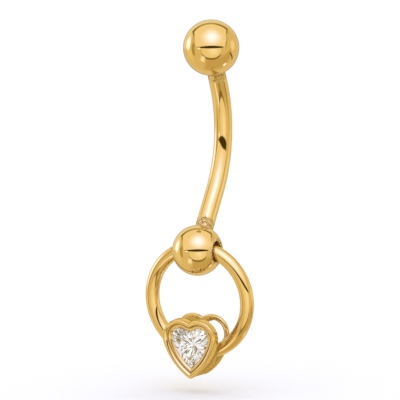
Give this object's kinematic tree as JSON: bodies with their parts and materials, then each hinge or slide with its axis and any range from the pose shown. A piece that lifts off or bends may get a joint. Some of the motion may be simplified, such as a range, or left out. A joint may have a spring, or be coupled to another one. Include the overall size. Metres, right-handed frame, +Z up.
{
  "type": "navel ring",
  "caption": "Bowed barbell with a screw-off ball on top and a lower ball through which a hoop swings, carrying a bezel-set heart-cut stone.",
  "frame": {"origin": "middle of the bar's bow, where the piercing sits", "axes": "+Z up as it hangs, -Y the way the heart faces, +X the viewer's right when looking at the heart"},
  "size_m": [0.0106, 0.0081, 0.0316],
  "materials": {
    "yellow_gold": "polished yellow gold",
    "clear_stone": "polished facets"
  },
  "bodies": {
    "barbell": {"barbell": "yellow_gold"},
    "top_ball": {"top_ball": "yellow_gold"},
    "pendant": {"heart_hoop": "yellow_gold", "heart_stone": "clear_stone"}
  },
  "joints": [
    {"name": "hoop_swing", "type": "hinge", "parent": "barbell", "child": "pendant", "pos_m": [0, -0.00496, -0.00952], "axis": [1, 0, 0], "range_deg": [-188, 124]},
    {"name": "top_ball_off", "type": "slide", "parent": "barbell", "child": "top_ball", "axis": [0, -0.3995, 0.9167], "range_m": [0, 0.004]}
  ]
}
